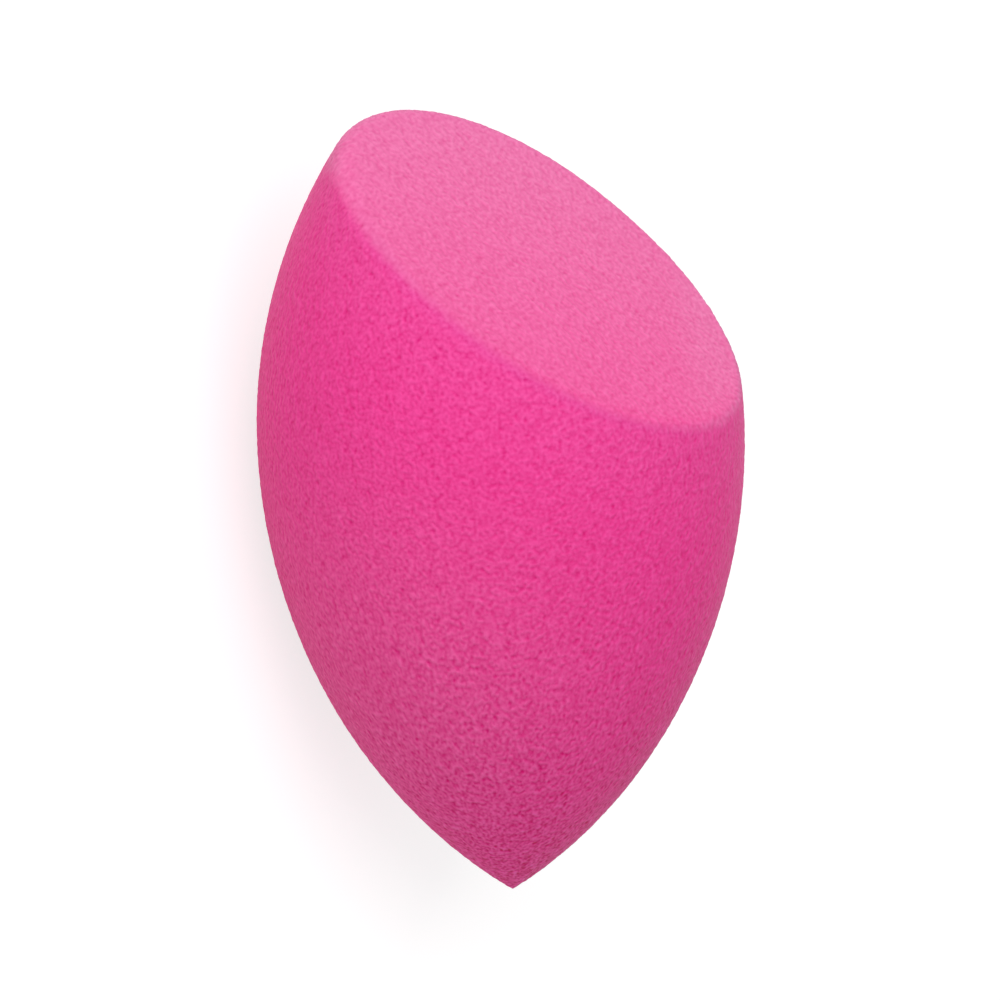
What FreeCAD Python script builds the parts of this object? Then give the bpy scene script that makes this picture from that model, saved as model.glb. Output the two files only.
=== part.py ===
import FreeCAD, Part
import math
import os

import Sketcher

# A makeup sponge: one piece of soft foam, a pointed olive cut off at its blunt end by one slanting
# flat bevel. It is drawn upright, with its point at the origin of its own sketches and the bevel facing
# +X there, and then laid down on its long flank, as it lies on a table with the bevel up. Foam this soft
# gives a little under its own weight, so it lies on a small flat.

doc = FreeCAD.newDocument("makeup_sponge")
sheet = doc.addObject("Spreadsheet::Sheet", "Sizes")

# Driving sizes, in millimetres and degrees
SIZES = [
    ("belly_diameter", 40.0, "across the widest place"),
    ("belly_height", 39.3, "from the point up to the widest place"),
    ("point_angle", 54.8, "between the axis and the flank at the point"),
    ("nose_height", 17.7, "below this the flank curves a little more tightly, in to the point"),
    ("crown_radius", 44.0, "arc of the flank above the widest place"),
    ("bevel_height", 57.7, "where the bevel crosses the axis"),
    ("bevel_angle", 38.0, "slope of the bevel from square to the axis"),
    ("rim_radius", 1.6, "rounding of the soft edge around the bevel"),
    ("rest_depth", 0.5, "how far the foam gives where it lies on the table"),
]
for row, (alias, value, note) in enumerate(SIZES, start=1):
    sheet.set(f"A{row}", note)
    sheet.set(f"B{row}", str(value))
    sheet.setAlias(f"B{row}", alias)
doc.recompute()

body = doc.addObject("PartDesign::Body", "bevelled_olive")

# Names for the ends of a sketch line or arc, and for the sketch's own axes and origin
START, END, CENTRE = range(1, 4)
LEVEL_AXIS, UPRIGHT_AXIS = range(-1, -3, -1)
ORIGIN = (LEVEL_AXIS, START)


def side_sketch(name):
    """An empty sketch on the body's own upright plane, with X across and Z up."""
    sketch = body.newObject("Sketcher::SketchObject", name)
    plane = next(feature for feature in body.Origin.OriginFeatures if feature.Role == "XZ_Plane")
    sketch.AttachmentSupport = [(plane, "")]
    sketch.MapMode = "FlatFace"
    return sketch


def drive(sketch, name, expression, *constraint):
    """Add a named dimension to a sketch and tie it to the driving sizes."""
    index = sketch.addConstraint(Sketcher.Constraint(*constraint))
    sketch.renameConstraint(index, name)
    sketch.setExpression(f"Constraints.{name}", expression)


def point(x, z):
    return FreeCAD.Vector(x, z, 0)


def upward_arc(radius, low, high):
    """An arc that bulges outwards from the axis and runs up from one point to another."""
    chord = high - low
    inwards = point(-chord.y, chord.x).normalize()
    centre = (low + high) * 0.5 + inwards * math.sqrt(radius ** 2 - (chord.Length / 2) ** 2)
    first = math.atan2(low.y - centre.y, low.x - centre.x)
    last = math.atan2(high.y - centre.y, high.x - centre.x)
    return Part.ArcOfCircle(Part.Circle(centre, FreeCAD.Vector(0, 0, 1), radius), first, last)


# The uncut olive: a nose arc, a belly arc and a crown arc, tangent to each other and turned about the axis.
# The nose and belly arcs start out as one arc from the point to the belly, and the point's angle parts them.
belly_reach = sheet.belly_diameter / 2
flank_radius = (belly_reach ** 2 + sheet.belly_height ** 2) / sheet.belly_diameter
nose_drop = sheet.belly_height - sheet.nose_height
nose_reach = belly_reach - flank_radius + math.sqrt(flank_radius ** 2 - nose_drop ** 2)
crown_rise = math.sqrt(sheet.crown_radius ** 2 - (sheet.crown_radius - belly_reach) ** 2)

tip = point(0, 0)
nose_top = point(nose_reach, sheet.nose_height)
belly = point(belly_reach, sheet.belly_height)
flank_centre = point(belly_reach - flank_radius, sheet.belly_height)
crown = point(0, sheet.belly_height + crown_rise)

outline = side_sketch("outline")
NOSE_ARC = outline.addGeometry(upward_arc(flank_radius, tip, nose_top))
BELLY_ARC = outline.addGeometry(upward_arc(flank_radius, nose_top, belly))
CROWN_ARC = outline.addGeometry(upward_arc(sheet.crown_radius, belly, crown))
AXIS_LINE = outline.addGeometry(Part.LineSegment(crown, tip))
NOSE_SPOKE = outline.addGeometry(Part.LineSegment(tip, flank_centre), True)

for constraint in (
    ("Coincident", NOSE_ARC, START, *ORIGIN),
    ("Tangent", NOSE_ARC, END, BELLY_ARC, START),
    ("Tangent", BELLY_ARC, END, CROWN_ARC, START),
    ("Coincident", CROWN_ARC, END, AXIS_LINE, START),
    ("Coincident", AXIS_LINE, END, NOSE_ARC, START),
    ("PointOnObject", CROWN_ARC, END, UPRIGHT_AXIS),
    ("Horizontal", BELLY_ARC, CENTRE, BELLY_ARC, END),
    ("Coincident", NOSE_SPOKE, START, *ORIGIN),
    ("Coincident", NOSE_SPOKE, END, NOSE_ARC, CENTRE),
):
    outline.addConstraint(Sketcher.Constraint(*constraint))
drive(outline, "belly_reach", "Sizes.belly_diameter / 2", "DistanceX", *ORIGIN, BELLY_ARC, END, belly_reach)
drive(outline, "belly_height", "Sizes.belly_height", "DistanceY", *ORIGIN, BELLY_ARC, END, sheet.belly_height)
drive(outline, "nose_height", "Sizes.nose_height", "DistanceY", *ORIGIN, NOSE_ARC, END, sheet.nose_height)
drive(outline, "crown_radius", "Sizes.crown_radius", "Radius", CROWN_ARC, sheet.crown_radius)
drive(outline, "spoke_angle", "180 deg - Sizes.point_angle * 1 deg",
      "Angle", NOSE_SPOKE, math.pi - math.radians(sheet.point_angle))

olive = body.newObject("PartDesign::Revolution", "olive")
olive.Profile = outline
olive.ReferenceAxis = (outline, ["V_Axis"])
olive.Angle = 360
doc.recompute()
olive_volume = olive.Shape.Volume

# The bevel: a wedge, wider than the olive, that takes off everything above one sloping line
wedge_reach = sheet.belly_diameter + sheet.belly_height
bevel_drop = wedge_reach * math.tan(math.radians(sheet.bevel_angle))
crossing = point(0, sheet.bevel_height)
high_end = point(-wedge_reach, sheet.bevel_height + bevel_drop)
low_end = point(wedge_reach, sheet.bevel_height - bevel_drop)
corner = point(wedge_reach, sheet.bevel_height + bevel_drop)

wedge = side_sketch("wedge")
BEVEL_LINE = wedge.addGeometry(Part.LineSegment(high_end, low_end))
OUTER_LINE = wedge.addGeometry(Part.LineSegment(low_end, corner))
TOP_LINE = wedge.addGeometry(Part.LineSegment(corner, high_end))
CROSSING = wedge.addGeometry(Part.Point(crossing), True)

for constraint in (
    ("Coincident", BEVEL_LINE, END, OUTER_LINE, START),
    ("Coincident", OUTER_LINE, END, TOP_LINE, START),
    ("Coincident", TOP_LINE, END, BEVEL_LINE, START),
    ("Vertical", OUTER_LINE),
    ("Horizontal", TOP_LINE),
    ("PointOnObject", CROSSING, START, UPRIGHT_AXIS),
    ("Symmetric", BEVEL_LINE, START, BEVEL_LINE, END, CROSSING, START),
):
    wedge.addConstraint(Sketcher.Constraint(*constraint))
drive(wedge, "bevel_height", "Sizes.bevel_height", "DistanceY", *ORIGIN, CROSSING, START, sheet.bevel_height)
drive(wedge, "wedge_reach", "Sizes.belly_diameter + Sizes.belly_height",
      "DistanceX", *ORIGIN, BEVEL_LINE, END, wedge_reach)
drive(wedge, "bevel_angle", "-Sizes.bevel_angle * 1 deg",
      "Angle", BEVEL_LINE, -math.radians(sheet.bevel_angle))

bevel = body.newObject("PartDesign::Pocket", "bevel")
bevel.Profile = wedge
bevel.Type = "ThroughAll"
bevel.SideType = "Symmetric"
doc.recompute()
if not 0 < bevel.Shape.Volume < olive_volume:
    raise RuntimeError("the bevel cuts nothing off the olive")

# The soft rim: every edge of the one flat face is rounded
flat = next(face for face in bevel.Shape.Faces if isinstance(face.Surface, Part.Plane))
rim_edges = [
    f"Edge{number}"
    for number, edge in enumerate(bevel.Shape.Edges, start=1)
    if any(edge.isSame(side) for side in flat.Edges)
]
rim = body.newObject("PartDesign::Fillet", "rim")
rim.Base = (bevel, rim_edges)
rim.setExpression("Radius", "Sizes.rim_radius")
doc.recompute()

# Laid down: the long flank is underneath, the point is towards +X, and the sponge leans on its belly arc
# until its weight is straight above the place where it touches. The middle of its box is over the origin.
weight = body.Shape.Solids[0].CenterOfMass
belly_centre = outline.Geometry[BELLY_ARC].Center
lean = math.degrees(math.atan2(belly_centre.y - weight.z, -belly_centre.x - weight.x))
laid_down = FreeCAD.Rotation(FreeCAD.Vector(0, 1, 0), lean - 90)
body.Placement = FreeCAD.Placement(FreeCAD.Vector(), laid_down)
box = body.Shape.optimalBoundingBox(False, False)
body.Placement = FreeCAD.Placement(
    FreeCAD.Vector(-box.Center.x, -box.Center.y, -box.ZMin - sheet.rest_depth), laid_down)

# The table top, at height 0, flattens what would reach below it
table = doc.addObject("Part::Box", "table_top")
table.setExpression("Length", "2 * (Sizes.belly_height + Sizes.belly_diameter)")
table.setExpression("Width", "Length")
table.setExpression("Height", "Sizes.belly_diameter")
table.setExpression("Placement.Base.x", "-Length / 2")
table.setExpression("Placement.Base.y", "-Width / 2")
table.setExpression("Placement.Base.z", "-Height")

sponge = doc.addObject("Part::Cut", "foam_body")
sponge.Label = "foam_body"
sponge.Base = body
sponge.Tool = table
doc.recompute()

for item in doc.Objects:
    if "Invalid" in item.State or "Error" in item.State:
        raise RuntimeError(f"{item.Label} failed to build")
if sponge.Shape.isNull() or not sponge.Shape.isValid() or len(sponge.Shape.Solids) != 1:
    raise RuntimeError("the sponge is not one sound solid")
if not 0 < sponge.Shape.Volume < body.Shape.Volume:
    raise RuntimeError("the table flattens nothing")

os.makedirs("parts", exist_ok=True)
sponge.Shape.exportStep(f"parts/{sponge.Label}.step")

height = box.ZLength - sheet.rest_depth
print(f"{sponge.Label}: {box.XLength:.3f} x {box.YLength:.3f} x {height:.3f} mm, "
      f"{sponge.Shape.Volume / 1000:.2f} cm3, lean {lean:.3f} degrees")
print(f"point {body.Placement.Base}, weight {body.Placement.multVec(weight)}")
bevel_slope = FreeCAD.Rotation(FreeCAD.Vector(0, 1, 0), sheet.bevel_angle)
bevel_facing = laid_down.multVec(bevel_slope.multVec(FreeCAD.Vector(0, 0, 1)))
print(f"bevel {body.Placement.multVec(FreeCAD.Vector(0, 0, sheet.bevel_height))}, facing {bevel_facing}")
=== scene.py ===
import math
from functools import partial

import bpy
import numpy as np
from mathutils import Matrix, Vector


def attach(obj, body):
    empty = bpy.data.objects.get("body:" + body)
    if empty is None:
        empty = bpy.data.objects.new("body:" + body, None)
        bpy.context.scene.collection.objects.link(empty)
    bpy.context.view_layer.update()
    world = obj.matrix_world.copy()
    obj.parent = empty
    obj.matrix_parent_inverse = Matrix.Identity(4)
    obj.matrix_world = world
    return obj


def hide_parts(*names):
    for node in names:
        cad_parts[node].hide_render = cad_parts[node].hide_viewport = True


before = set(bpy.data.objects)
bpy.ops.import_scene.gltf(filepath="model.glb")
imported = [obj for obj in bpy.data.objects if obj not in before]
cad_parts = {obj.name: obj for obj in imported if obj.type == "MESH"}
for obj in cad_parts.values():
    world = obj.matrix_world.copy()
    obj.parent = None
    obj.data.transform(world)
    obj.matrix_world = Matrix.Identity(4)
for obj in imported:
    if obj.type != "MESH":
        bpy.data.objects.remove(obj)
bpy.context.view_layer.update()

scene = bpy.context.scene
scene.view_settings.view_transform = "Standard"


# The sponge: one piece of soft, fine-celled foam, moulded as a pointed olive whose blunt end is cut off
# with one slanting stroke. It lies on its long flank, where its own weight presses a small flat.
# Sizes are in millimetres, upright, with the point at the origin and the cut facing +X.
MM = 0.001
BELLY_RADIUS = 20.0
BELLY_HEIGHT = 39.3
POINT_ANGLE = math.radians(54.8)
NOSE_HEIGHT = 17.7
LEAN = math.radians(8.309)
LYING_TURN = LEAN - math.pi / 2
POINT_PLACE = Vector((33.1757, 0.0, 14.1298))

# The nose arc leaves the point at the point's angle, and meets the belly arc smoothly at the nose's height
point_slope = math.tan(POINT_ANGLE / 2)
square_term = (BELLY_HEIGHT - NOSE_HEIGHT) * point_slope
plain_term = BELLY_HEIGHT + BELLY_RADIUS * point_slope
last_term = BELLY_RADIUS - NOSE_HEIGHT * point_slope
spread = math.sqrt(plain_term ** 2 - 4 * square_term * last_term)
joint_angle = 2 * math.atan((plain_term - spread) / (2 * square_term))
belly_arc = (BELLY_HEIGHT - NOSE_HEIGHT) / math.sin(joint_angle)
nose_arc = NOSE_HEIGHT / (math.sin(POINT_ANGLE) - math.sin(joint_angle))

FOAM_SIZES = {
    # The shape
    "Nose Arc": nose_arc,
    "Nose Centre Reach": -nose_arc * math.cos(POINT_ANGLE),
    "Nose Centre Height": nose_arc * math.sin(POINT_ANGLE),
    "Nose Height": NOSE_HEIGHT,
    "Nose Bend": 0.29,
    "Nose Draw": 0.16,
    "Nose Bend Height": 12.0,
    "Belly Arc": belly_arc,
    "Belly Radius": BELLY_RADIUS,
    "Belly Height": BELLY_HEIGHT,
    "Crown Arc": 44.0,
    "Cut Height": 57.46,
    "Cut Angle": math.radians(37.54),
    "Cut Twist": -0.77,
    "Cut Sag": -0.33,
    "Rim Radius": 1.6,
    "Rim Tightening": 0.45,
    "Heart Height": 36.0,
    "Grid Stretch": 1.5,
    "Lean": LEAN,
    "Point Lift": POINT_PLACE.z,
    "Flat Softness": 0.3,
    # The tones of the cut, of its rim and of the flank, with painted sheen, highlight and shade among them
    "Cut Paleness": 0.80,
    # The cut's extra paleness towards its upper end, far side and low end is a painted sheen
    "Cut Painted Sheen Rise": 0.25,
    "Cut Painted Sheen Drift": 0.22,
    "Cut Painted Sheen End": 0.24,
    "Low Rim Deepening": 0.35,
    "Low Rim Reach": 1.8,
    "Low Rim Edge": 0.2,
    "Run Out": 0.95,
    "Run Out Rise": 0.5,
    "Run Out Drift": 1.1,
    "Run Out Far Side": 1.2,
    "Run Out Upper End": 0.9,
    "Fade": 0.6,
    "Fade Drift": 0.5,
    "Fade Far Side": 0.5,
    "Rag Fineness": 1.5,
    "Rag Depth": 0.6,
    # A painted highlight on the flank just below the rim
    "Rim Highlight Reach": 8.8,
    # A painted sheen: one place low on the flank is made paler, where white light would be reflected
    "Painted Sheen Reach": 24.75,
    "Painted Sheen Middle": 0.15,
    # The grain and the cells
    "Grain Size": 0.42,
    "Grain Height": 0.16,
    "Pit Spacing": 0.60,
    "Pit Edge": 0.50,
    "Pit Floor": 0.12,
    "Pit Depth": 0.03,
    "Pit Luck": 0.8,
    "Pit Variety": 0.6,
    "Pit Least": 0.4,
    "Crown Coarseness": 0.8,
    # Stronger grain contrast towards the point: partly coarser skin, partly painted shade and glints
    "Nose Coarseness And Painted Glints": 1.95,
    "Coarse Height": 55.0,
    "Cell Fineness": 0.25,
    "Cell Rise": 0.50,
    "Cell Rise Height": 36.0,
    "Blade Drag": 1.7,
    "Seed": 7.0,
}
FOAM_GRID = 256
BLADE_WAY = Vector((0.234, -0.956, -0.180))
PAINTED_SHEEN_CENTRE = Vector((-0.49, -16.96, 22.69))
SEED_STRIDE = 5.3
NOISE_MIDDLE = 0.5
OUT_OF_REACH = 1000.0
GRAZING = 0.01

foam_tree = bpy.data.node_groups.new("foam_olive", "GeometryNodeTree")
for name in FOAM_SIZES:
    foam_tree.interface.new_socket(name, in_out="INPUT", socket_type="NodeSocketFloat")
foam_tree.interface.new_socket("Foam", in_out="OUTPUT", socket_type="NodeSocketGeometry")


class Field:
    """A number that the foam's tree works out at every point; each sum adds one node to the tree."""

    def __init__(self, socket):
        self.socket = socket

    def __add__(self, other):
        return reckon("ADD", self, other)

    def __sub__(self, other):
        return reckon("SUBTRACT", self, other)

    def __mul__(self, other):
        return reckon("MULTIPLY", self, other)

    def __truediv__(self, other):
        return reckon("DIVIDE", self, other)

    def __rsub__(self, other):
        return reckon("SUBTRACT", other, self)

    def __rtruediv__(self, other):
        return reckon("DIVIDE", other, self)

    def __neg__(self):
        return reckon("MULTIPLY", self, -1.0)

    __radd__ = __add__
    __rmul__ = __mul__


def wire(term, socket):
    """Feed a socket from another node of its tree, or with a plain value."""
    if isinstance(term, Field):
        term = term.socket
    if isinstance(term, bpy.types.NodeSocket):
        socket.id_data.links.new(term, socket)
    else:
        socket.default_value = term


def feed(node, *terms):
    """Feed a node's inputs one after another."""
    for term, socket in zip(terms, node.inputs):
        wire(term, socket)
    return node


def add_node(tree, kind, settings=(), **terms):
    """Add a node to a tree. The terms name its inputs, with _ for a space."""
    node = tree.nodes.new(kind)
    for name, value in dict(settings).items():
        setattr(node, name, value)
    for name, term in terms.items():
        wire(term, node.inputs[name.replace("_", " ")])
    return node


step = partial(add_node, foam_tree)


def reckon(operation, *terms):
    return Field(feed(step("ShaderNodeMath", {"operation": operation}), *terms).outputs[0])


def choose(where, there, elsewhere):
    node = step("GeometryNodeSwitch", {"input_type": "FLOAT"})
    return Field(feed(node, where, elsewhere, there).outputs[0])


def ease(value, at_nought, at_one):
    """From 0 to 1, in a soft S, as the value goes from one mark to the other."""
    node = step("ShaderNodeMapRange", {"interpolation_type": "SMOOTHSTEP"},
                Value=value, From_Min=at_nought, From_Max=at_one)
    return Field(node.outputs["Result"])


def root_of(term):
    return reckon("SQRT", reckon("MAXIMUM", term, 0.0))


def parts_of(vector):
    return [Field(socket) for socket in step("ShaderNodeSeparateXYZ", Vector=vector).outputs]


def joined(x, y, z):
    return step("ShaderNodeCombineXYZ", X=x, Y=y, Z=z).outputs[0]


foam_input = step("NodeGroupInput")
size = {name: Field(foam_input.outputs[name]) for name in FOAM_SIZES}

# A cube's grid, evened out by angle, is blown up until its points lie on the foam's skin: each of them goes
# straight out from the heart
cube = step("GeometryNodeMeshCube", Size=(2.0, 2.0, 2.0), Vertices_X=FOAM_GRID + 1,
            Vertices_Y=FOAM_GRID + 1, Vertices_Z=FOAM_GRID + 1)
grid_place = step("GeometryNodeInputPosition").outputs[0]
evened = [reckon("TANGENT", part * (math.pi / 4)) for part in parts_of(grid_place)]
x, y, z = evened[0], evened[1], evened[2] * size["Grid Stretch"]
away = root_of(x * x + y * y + z * z)
x, y, z = x / away, y / away, z / away
out = root_of(x * x + y * y)
heart = size["Heart Height"]


def arc_reach(arc, centre_reach, centre_height):
    """How far from the heart the skin is, where the flank is this arc turned about the axis."""
    up = centre_height - heart
    middle = centre_reach * out + up * z
    return middle + root_of(middle * middle - centre_reach * centre_reach - up * up + arc * arc)


crown_centre = size["Belly Radius"] - size["Crown Arc"]
to_belly = arc_reach(size["Belly Arc"], size["Belly Radius"] - size["Belly Arc"], size["Belly Height"])
to_nose = arc_reach(size["Nose Arc"], size["Nose Centre Reach"], size["Nose Centre Height"])
to_crown = arc_reach(size["Crown Arc"], crown_centre, size["Belly Height"])
belly_rise = heart + to_belly * z
above_belly = reckon("GREATER_THAN", belly_rise, size["Belly Height"])
to_skin = choose(reckon("LESS_THAN", belly_rise, size["Nose Height"]), to_nose, to_belly)
to_skin = choose(above_belly, to_crown, to_skin)

# The cut is nearly a plane: soft foam gives under the blade, and leaves it with a slight twist
cut_x = reckon("SINE", size["Cut Angle"])
cut_z = reckon("COSINE", size["Cut Angle"])
to_plane = (size["Cut Height"] - heart) * cut_z
towards_cut = x * cut_x + z * cut_z
cut_ahead = reckon("GREATER_THAN", towards_cut, GRAZING)
near_cut = reckon("MINIMUM", choose(cut_ahead, to_plane / towards_cut, OUT_OF_REACH), to_crown)
up_slope = (heart + z * near_cut - size["Cut Height"]) * cut_x - x * near_cut * cut_z
up_slope = up_slope / size["Belly Radius"]
across = y * near_cut / size["Belly Radius"]
to_plane = to_plane - up_slope * across * (size["Cut Twist"] + size["Cut Sag"] * across)
to_cut = choose(cut_ahead, to_plane / towards_cut, OUT_OF_REACH)


def cut_part(begins, full, over=0.0, up=0.0):
    """A part of the cut, from 0 where it begins to 1 where it is full, going this way over and up it.

    Both marks are belly radii from the middle of the cut.
    """
    return ease(over * across + up * up_slope, begins, full)


# The rim is rounded as if a ball had rolled round inside it, a smaller one at the far side's low corner.
# The skin there is where the way out from the heart leaves the ball that touches the crown and the cut.
low_corner = cut_part(over=0.8, up=-0.6, begins=0.8, full=1.03)
rim_radius = size["Rim Radius"] * (1.0 - size["Rim Tightening"] * low_corner)
crown_out = (to_crown * out - crown_centre) / size["Crown Arc"]
crown_up = (heart + to_crown * z - size["Belly Height"]) / size["Crown Arc"]
towards_crown = out * crown_out + z * crown_up
corner = crown_out * (x / out) * cut_x + crown_up * cut_z
crown_start = rim_radius - towards_crown * to_crown
plane_start = rim_radius - to_plane
square = (towards_crown * towards_crown + towards_cut * towards_cut
          - 2.0 * corner * towards_crown * towards_cut)
half_plain = (towards_crown * crown_start + towards_cut * plane_start
              - corner * (towards_crown * plane_start + towards_cut * crown_start))
plain = (crown_start * crown_start + plane_start * plane_start - 2.0 * corner * crown_start * plane_start
         + rim_radius * rim_radius * (corner * corner - 1.0))
to_rim = (root_of(half_plain * half_plain - square * plain) - half_plain) / square
crown_share = towards_crown * to_rim + crown_start
plane_share = towards_cut * to_rim + plane_start
on_rim = (reckon("GREATER_THAN", crown_share, corner * plane_share)
          * reckon("GREATER_THAN", plane_share, corner * crown_share) * above_belly)
rim_turn = (plane_share - crown_share) / ((1.0 - corner) * rim_radius)
to_skin = choose(on_rim, to_rim, reckon("MINIMUM", to_skin, to_cut))

# The table presses a flat that fades softly into the flank
down_x = -reckon("COSINE", size["Lean"])
down_z = -reckon("SINE", size["Lean"])
towards_table = x * down_x + z * down_z
to_table = (size["Point Lift"] - heart * down_z) / reckon("MAXIMUM", towards_table, GRAZING)
to_skin = reckon("SMOOTH_MIN", to_skin, to_table, size["Flat Softness"])

# The nose is drawn out to its point, and bends a little away from the cut
rise = heart + z * to_skin
bend = reckon("MAXIMUM", 1.0 - rise / size["Nose Bend Height"], 0.0)
bend = bend * bend
skin_parts = [x * to_skin - bend * size["Nose Bend"], y * to_skin, rise - bend * size["Nose Draw"]]
skin_place = joined(*skin_parts)

# The cut face is pale, and paler still towards its upper end, far side and low end, where a painted sheen
# is added. Its tone runs out unevenly over the rounded rim, least on the far side, and the flank just below
# is
# paler than the rest: a painted highlight. Near the low rim the cut's paleness fades, and the rounded rim's
# low near part is darker: painted shade.
far_side = cut_part(over=0.955, up=0.295, begins=0.25, full=0.75)
upper_end = cut_part(over=0.79, up=0.61, begins=-0.35, full=0.10) * cut_part(up=1.0, begins=0.3, full=0.7)
upper_end = upper_end * (1.0 - far_side)
low_end = cut_part(over=0.524, up=-0.676, begins=0.675, full=0.90)
ragged = Field(step("ShaderNodeTexNoise", Vector=skin_place, Scale=size["Rag Fineness"],
                    Detail=2.0).outputs[0])
below_cut = to_plane - towards_cut * to_skin
past_rim = -1.0 - (below_cut / rim_radius - (1.0 - corner))
ragged_turn = (choose(on_rim, rim_turn, past_rim) + (ragged - NOISE_MIDDLE) * size["Rag Depth"]
               + size["Run Out"] + size["Run Out Rise"] * up_slope + size["Run Out Drift"] * across
               - size["Run Out Far Side"] * far_side + size["Run Out Upper End"] * upper_end)
fade = (size["Fade"] + size["Fade Drift"] * cut_part(over=1.0, begins=0.0, full=0.7)
        - size["Fade Far Side"] * far_side)
on_cut = reckon("LESS_THAN", to_cut, to_crown) * (1.0 - on_rim)
sliced = reckon("MAXIMUM", on_cut, ease(ragged_turn, -fade, fade) * reckon("GREATER_THAN", z, 0.0))
# The cut's own paler tone, with a painted sheen added towards its upper end, far side and low end
cut_paleness_and_sheen = sliced * (size["Cut Paleness"] + size["Cut Painted Sheen Rise"] * up_slope
                     + size["Cut Painted Sheen Drift"] * across + size["Cut Painted Sheen End"] * low_end)
low_rim = (size["Low Rim Deepening"] * cut_part(up=1.0, begins=0.2, full=-0.8)
           * ease(to_crown - to_cut, size["Low Rim Reach"], size["Low Rim Edge"])
           * cut_part(over=1.0, begins=0.5, full=0.0))
cut_paleness_and_sheen = cut_paleness_and_sheen * (1.0 - low_rim)
# Painted shade: the rounded rim's low near part is darkened, most in the middle of its rounding
painted_rim_shade = choose(on_rim, reckon("MAXIMUM", 1.0 - rim_turn * rim_turn, 0.0), 0.0)
painted_rim_shade = painted_rim_shade * cut_part(up=1.0, begins=0.5, full=0.0) * (1.0 - far_side)
# Painted highlight: the flank just below the rim is made paler
pale_rim = ease(below_cut, size["Rim Highlight Reach"], 0.0) * (1.0 - sliced)

# The foam rose in its mould, so its cells are drawn out lengthwise towards the point, and on the cut face
# the blade has dragged them. One place low on the flank is made paler: a painted sheen, standing in for
# white light reflected there.
seed_shift = size["Seed"] * SEED_STRIDE
below_belly = reckon("MAXIMUM", size["Cell Rise Height"] - skin_parts[2], 0.0)
finer = size["Cell Fineness"] * below_belly / size["Cell Rise Height"]
risen = (skin_parts[0] * finer, skin_parts[1] * finer,
         size["Cell Rise"] * below_belly * below_belly / (2.0 * size["Cell Rise Height"]))
risen_place = joined(*[part + lift + seed_shift for part, lift in zip(skin_parts, risen)])
along_blade = sum(part * way for part, way in zip(skin_parts, BLADE_WAY)) * (1.0 / size["Blade Drag"] - 1.0)
dragged_place = joined(*[part + along_blade * way + seed_shift for part, way in zip(skin_parts, BLADE_WAY)])
# The painted sheen's place: palest near its middle, fading out at its reach
from_painted_sheen = root_of(sum((part - middle) * (part - middle) for part, middle in zip(skin_parts, PAINTED_SHEEN_CENTRE)))
painted_sheen_middle = size["Painted Sheen Middle"] * size["Painted Sheen Reach"]
painted_sheen_tone = ease(from_painted_sheen, size["Painted Sheen Reach"], painted_sheen_middle)


def keep(foam, data_type, **fields):
    """Store fields on the foam's points, each under its name."""
    for name, field in fields.items():
        foam = step("GeometryNodeStoreNamedAttribute", {"data_type": data_type},
                    Geometry=foam, Name=name, Value=field).outputs[0]
    return foam


foam = keep(cube.outputs["Mesh"], "FLOAT_VECTOR",
            grid_place=grid_place, risen_place=risen_place, dragged_place=dragged_place)
foam = keep(foam, "FLOAT", cut=cut_paleness_and_sheen, rim=painted_rim_shade, patch=painted_sheen_tone, pale_rim=pale_rim, sliced=sliced)
foam = step("GeometryNodeSetPosition", Geometry=foam, Position=skin_place).outputs[0]

# The foam's grain: fine lumps and hollows all over the skin, and open cells scattered among them. Its tones
# differ most at the point: partly a coarser skin there, and partly painted shade and glints where light
# grazes the grain.
cells = step("GeometryNodeInputNamedAttribute", {"data_type": "FLOAT_VECTOR"},
             Name="risen_place").outputs[0]
grain = Field(step("ShaderNodeTexNoise", Vector=cells, Scale=1.0 / size["Grain Size"],
                   Detail=1.5, Roughness=0.5).outputs[0])
pits = step("ShaderNodeTexVoronoi", Vector=cells, Scale=1.0 / size["Pit Spacing"])
pit_luck = parts_of(pits.outputs["Color"])[1]
pit = (ease(pits.outputs["Distance"], size["Pit Edge"], size["Pit Floor"])
       * (ease(pit_luck, 0.0, size["Pit Luck"]) * size["Pit Variety"] + size["Pit Least"]))
skin_height = parts_of(step("GeometryNodeInputPosition").outputs[0])[2]
nearness = reckon("MAXIMUM", 1.0 - skin_height / size["Coarse Height"], 0.0)
# The grain's contrast rises towards the point: partly painted shade and glints
coarse = size["Crown Coarseness"] + (size["Nose Coarseness And Painted Glints"] * nearness * nearness) * (nearness * nearness)
foam = keep(foam, "FLOAT", coarse=coarse, grain=grain, pit=pit)

raised = (grain - NOISE_MIDDLE) * size["Grain Height"] - pit * size["Pit Depth"]
outwards = step("GeometryNodeInputNormal").outputs[0]
relief = step("ShaderNodeVectorMath", {"operation": "SCALE"}, Vector=outwards, Scale=raised).outputs[0]
foam = step("GeometryNodeSetPosition", Geometry=foam, Offset=relief).outputs[0]
foam = step("GeometryNodeTransform", Geometry=foam, Translation=POINT_PLACE * MM,
            Rotation=(0.0, LYING_TURN, 0.0), Scale=(MM, MM, MM)).outputs[0]
foam = step("GeometryNodeSetShadeSmooth", Geometry=foam).outputs[0]

# Pink foam: deeper pink in the hollows and the pits, partly the grain's own tone and partly painted shade.
# The cut face, where the cells are sliced open, is paler, and a painted sheen makes it paler still towards
# its ends.
FOAM_FINISH = {
    "Roughness": 0.75,
    "Specular IOR Level": 0.2,
    "Sheen Weight": 0.147,
    "Sheen Roughness": 0.4,
    "Sheen Tint": (1.0, 0.85, 0.93, 1.0),
}
FLANK_PINK = (0.98, 0.0755, 0.377, 1.0)
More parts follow.
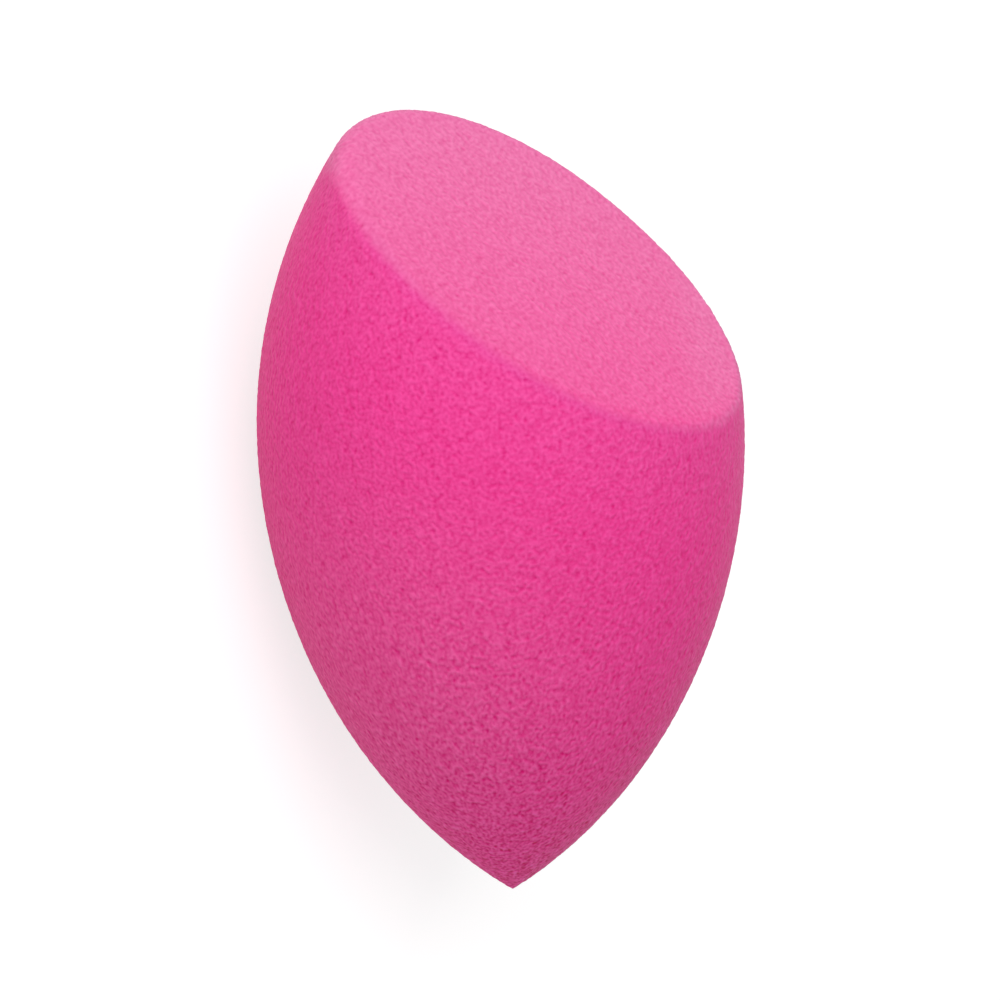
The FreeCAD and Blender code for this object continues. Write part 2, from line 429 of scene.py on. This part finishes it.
# The hollow pinks are darker and deeper: partly the grain's tone, partly painted shade in the hollows
FLANK_HOLLOW_PINK = (0.80, 0.0205, 0.2266, 1.0)
CUT_PINK = (0.93, 0.228, 0.485, 1.0)
CUT_HOLLOW_PINK = (0.79, 0.120, 0.342, 1.0)
# The painted sheen's tint, paler in green and blue
PAINTED_SHEEN_TINT = (1.0, 1.60, 1.064, 1.0)
# The painted highlight's tint below the rim
RIM_HIGHLIGHT_TINT = (0.975, 1.25, 1.05, 1.0)
# The painted shade's tint on the rounded rim
RIM_PAINTED_SHADE = (0.90, 1.0, 0.96, 1.0)
GRAIN_MIDDLE = 0.485
GRAIN_SPREAD = 0.22
FINE_CELL_SCALE = 3.2
FINE_CELL_SHARE = 0.75
FINE_CELL_HEIGHT = 0.08 * MM
# Painted shade: the pits are drawn towards the darker hollow pink
PIT_PAINTED_SHADE = -0.18

dyed_foam = bpy.data.materials.new("dyed_foam")
dyed_foam.use_nodes = True
foam_shader = dyed_foam.node_tree.nodes["Principled BSDF"]
for name, value in FOAM_FINISH.items():
    wire(value, foam_shader.inputs[name])
dye_step = partial(add_node, dyed_foam.node_tree)


def kept(name, output="Fac"):
    """What the foam's tree has stored on its points under this name."""
    return dye_step("ShaderNodeAttribute", {"attribute_name": name}).outputs[output]


def fine_cells(place):
    return dye_step("ShaderNodeTexNoise", Vector=kept(place, "Vector"), Scale=FINE_CELL_SCALE,
                    Detail=0.5, Roughness=0.5).outputs[0]


def dye_reckon(operation, *terms):
    return feed(dye_step("ShaderNodeMath", {"operation": operation}), *terms).outputs[0]


def blend_dye(kind, share, under, over):
    node = dye_step("ShaderNodeMix", {"data_type": "RGBA", "blend_type": kind,
                                      "clamp_factor": False, "clamp_result": True})
    inputs = {socket.identifier: socket for socket in node.inputs}
    wire(share, inputs["Factor_Float"])
    wire(under, inputs["A_Color"])
    wire(over, inputs["B_Color"])
    return next(socket for socket in node.outputs if socket.identifier == "Result_Color")


fine = dye_step("ShaderNodeMix", Factor=kept("sliced"), A=fine_cells("risen_place"),
                B=fine_cells("dragged_place")).outputs[0]
mixed_grain = dye_step("ShaderNodeMix", Factor=FINE_CELL_SHARE, A=kept("grain"), B=fine).outputs[0]
# Painted shade in the pits: they take more of the hollow pink
sunk_grain = dye_reckon("MULTIPLY_ADD", kept("pit"), PIT_PAINTED_SHADE, mixed_grain)
off_middle = dye_reckon("SUBTRACT", sunk_grain, GRAIN_MIDDLE)
# The grain's contrast, strongest at the point: partly painted shade and glints
strong_grain = dye_reckon("MULTIPLY_ADD", off_middle, kept("coarse"), GRAIN_MIDDLE)
# How hollow each spot is; the darker pink there is partly painted shade
hollow_tone_and_shade = dye_step("ShaderNodeMapRange", {"clamp": False}, Value=strong_grain,
                      From_Min=GRAIN_MIDDLE + GRAIN_SPREAD, From_Max=GRAIN_MIDDLE - GRAIN_SPREAD).outputs[0]
# The cut's colour: its own paler tone with a painted sheen
cell_wall = blend_dye("MIX", kept("cut"), FLANK_PINK, CUT_PINK)
cell_hollow = blend_dye("MIX", kept("cut"), FLANK_HOLLOW_PINK, CUT_HOLLOW_PINK)
colour = blend_dye("MIX", hollow_tone_and_shade, cell_wall, cell_hollow)
# Painted shade on the rounded rim's low near part
colour = blend_dye("MULTIPLY", kept("rim"), colour, RIM_PAINTED_SHADE)
# Painted sheen: paler low on the flank
colour = blend_dye("MULTIPLY", kept("patch"), colour, PAINTED_SHEEN_TINT)
# Painted highlight on the flank just below the rim
colour = blend_dye("MULTIPLY", kept("pale_rim"), colour, RIM_HIGHLIGHT_TINT)
wire(colour, foam_shader.inputs["Base Color"])
bump = dye_step("ShaderNodeBump", Height=fine, Strength=1.0, Distance=FINE_CELL_HEIGHT)
wire(bump.outputs[0], foam_shader.inputs["Normal"])

foam = step("GeometryNodeRealizeInstances", Geometry=foam).outputs[0]
foam = step("GeometryNodeSetMaterial", Geometry=foam, Material=dyed_foam).outputs[0]
step("NodeGroupOutput", Foam=foam)

# The tree is worked out once, and what it makes is kept as a plain mesh
sponge = bpy.data.objects.new("sponge", bpy.data.meshes.new("sponge_blank"))
scene.collection.objects.link(sponge)
blowing = sponge.modifiers.new("foam_olive", "NODES")
blowing.node_group = foam_tree
for socket in foam_tree.interface.items_tree:
    if socket.in_out == "INPUT":
        blowing[socket.identifier] = FOAM_SIZES[socket.name]
made = bpy.data.meshes.new_from_object(sponge.evaluated_get(bpy.context.evaluated_depsgraph_get()))
sponge.modifiers.remove(blowing)
blank = sponge.data
sponge.data = made
bpy.data.meshes.remove(blank)
made.name = "sponge"

# The map for its colours: the six sides of the cube, three by two, each with a narrow margin
MAP_SHARE = 0.985
corner_vertices = np.empty(len(made.loops), np.int32)
made.loops.foreach_get("vertex_index", corner_vertices)
grid = np.empty(len(made.vertices) * 3, np.float32)
made.attributes["grid_place"].data.foreach_get("vector", grid)
grid = grid.reshape(-1, 3)[corner_vertices].reshape(-1, 4, 3)
middles = grid.mean(axis=1)
facing = np.abs(middles).argmax(axis=1)
on_plus_side = np.take_along_axis(middles, facing[:, None], 1)[:, 0] > 0


def along_edge(turn):
    """Where each corner lies along one edge of its side of the cube, from -1 to 1."""
    edge = ((facing + turn) % 3)[:, None, None].repeat(4, 1)
    return np.take_along_axis(grid, edge, 2)[..., 0]


side_map = np.stack([(facing[:, None] + 0.5 + along_edge(1) * MAP_SHARE / 2) / 3,
                     (on_plus_side[:, None] + 0.5 + along_edge(2) * MAP_SHARE / 2) / 2], axis=-1)
layer = made.uv_layers.new(name="OFBake", do_init=False)
layer.uv.foreach_set("vector", side_map.astype(np.float32).ravel())
made.attributes.remove(made.attributes["grid_place"])

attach(sponge, "root")
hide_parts("foam_body")


# The table: a plain white top that runs out of sight on all sides, with the sponge lying loose on it.
# The camera sees it white, with the sponge's shadow left on it.
TABLE_REACH = 4.0
TABLE_DROP = 0.02 * MM
TABLE_PAINT = (0.8, 0.8, 0.8, 1.0)
SHADOW_PAINT = (0.4, 0.4, 0.4, 1.0)
TABLE_GLOW = 0.75

table_ways = ((-1, -1), (1, -1), (1, 1), (-1, 1))
table_corners = [(way_x * TABLE_REACH, way_y * TABLE_REACH, -TABLE_DROP) for way_x, way_y in table_ways]
table_mesh = bpy.data.meshes.new("table")
table_mesh.from_pydata(table_corners, [], [(0, 1, 2, 3)])
table = bpy.data.objects.new("table", table_mesh)
scene.collection.objects.link(table)

table_white = bpy.data.materials.new("table_white")
table_white.use_nodes = True
paint = table_white.node_tree
paint.nodes.remove(paint.nodes["Principled BSDF"])


def greater(tree, first, second):
    return feed(add_node(tree, "ShaderNodeMath", {"operation": "MAXIMUM"}), first, second).outputs[0]


def seen_rays(tree):
    """1 for what the camera sees, straight or in something glossy or clear, and 0 for other light."""
    rays = add_node(tree, "ShaderNodeLightPath").outputs
    mirrored = greater(tree, rays["Is Glossy Ray"], rays["Is Transmission Ray"])
    return greater(tree, rays["Is Camera Ray"], mirrored)


bounce = add_node(paint, "ShaderNodeBsdfDiffuse", Color=TABLE_PAINT).outputs[0]
shade = add_node(paint, "ShaderNodeBsdfDiffuse", Color=SHADOW_PAINT).outputs[0]
glow = add_node(paint, "ShaderNodeEmission", Strength=TABLE_GLOW).outputs[0]
lifted = feed(add_node(paint, "ShaderNodeAddShader"), shade, glow).outputs[0]
either = feed(add_node(paint, "ShaderNodeMixShader"), seen_rays(paint), bounce, lifted).outputs[0]
wire(either, paint.nodes["Material Output"].inputs["Surface"])
table_mesh.materials.append(table_white)


# The camera: where the photograph was taken from, turned as it was so that the sponge stands on its point
# in the picture. Its distances are in millimetres, as the sponge's sizes are.
LOOK_AZIMUTH = math.radians(31.58)
LOOK_RISE = math.radians(14.0)
LOOK_ROLL = math.radians(1.87)
LOOK_DISTANCE = 400.0
LOOK_DROP = 5.337
LOOK_ASIDE = 0.07
SENSOR_WIDTH = 36.0
LENS = 175.27
NEAREST_SEEN = 10.0

laid_down = Matrix.Rotation(LYING_TURN, 3, "Y")
towards = laid_down @ Vector((math.sin(LOOK_AZIMUTH) * math.cos(LOOK_RISE),
                              -math.cos(LOOK_AZIMUTH) * math.cos(LOOK_RISE), math.sin(LOOK_RISE)))
level = laid_down @ Vector((math.cos(LOOK_AZIMUTH), math.sin(LOOK_AZIMUTH), 0.0))
upright = towards.cross(level)
picture_right = level * math.cos(LOOK_ROLL) - upright * math.sin(LOOK_ROLL)
picture_up = level * math.sin(LOOK_ROLL) + upright * math.cos(LOOK_ROLL)
belly_middle = laid_down @ Vector((0.0, 0.0, BELLY_HEIGHT)) + POINT_PLACE
eye = belly_middle + towards * LOOK_DISTANCE
aim = belly_middle - picture_up * LOOK_DROP - picture_right * LOOK_ASIDE
backwards = (eye - aim).normalized()
camera_x = picture_up.cross(backwards).normalized()
camera_y = backwards.cross(camera_x)

camera_data = bpy.data.cameras.new("camera")
camera_data.sensor_width = SENSOR_WIDTH
camera_data.lens = LENS
camera_data.clip_start = NEAREST_SEEN * MM
camera = bpy.data.objects.new("camera", camera_data)
scene.collection.objects.link(camera)
turned = Matrix((camera_x, camera_y, backwards)).transposed().to_4x4()
camera.matrix_world = Matrix.Translation(eye * MM) @ turned
scene.camera = camera


# The light: one large soft box about 30 degrees off the line of sight, above it and to its right, and a
# white room that is a little brighter up and to the left. The camera sees the room plain white.
BOX_RIGHT = 0.28
BOX_UP = 0.40
BOX_TOWARDS = 0.87
BOX_DISTANCE = 0.9
BOX_SIZE = 0.7
BOX_POWER = 5.75
ROOM_LIGHT = 0.438
ROOM_LEAN = 0.25
ROOM_UP = 0.8
ROOM_LEFT = 0.4
WHITE = (1.0, 1.0, 1.0, 1.0)

box_way = (picture_right * BOX_RIGHT + picture_up * BOX_UP + towards * BOX_TOWARDS).normalized()
box_data = bpy.data.lights.new("soft_box", "AREA")
box_data.shape = "SQUARE"
box_data.size = BOX_SIZE
box_data.energy = BOX_POWER
soft_box = bpy.data.objects.new("soft_box", box_data)
scene.collection.objects.link(soft_box)
soft_box.location = belly_middle * MM + box_way * BOX_DISTANCE
soft_box.rotation_mode = "QUATERNION"
soft_box.rotation_quaternion = (-box_way).to_track_quat("-Z", "Y")

room = bpy.data.worlds.new("white_room")
scene.world = room
room.use_nodes = True
walls = room.node_tree
brighter_way = (picture_up * ROOM_UP - picture_right * ROOM_LEFT).normalized()
wall_way = add_node(walls, "ShaderNodeTexCoord").outputs["Generated"]
leaning = feed(add_node(walls, "ShaderNodeVectorMath", {"operation": "DOT_PRODUCT"}),
               wall_way, brighter_way).outputs["Value"]
wall_light = feed(add_node(walls, "ShaderNodeMath", {"operation": "MULTIPLY_ADD"}),
                  leaning, ROOM_LIGHT * ROOM_LEAN, ROOM_LIGHT).outputs[0]
strength = add_node(walls, "ShaderNodeMapRange", Value=seen_rays(walls), To_Min=wall_light).outputs[0]
background = walls.nodes["Background"]
wire(WHITE, background.inputs["Color"])
wire(strength, background.inputs["Strength"])
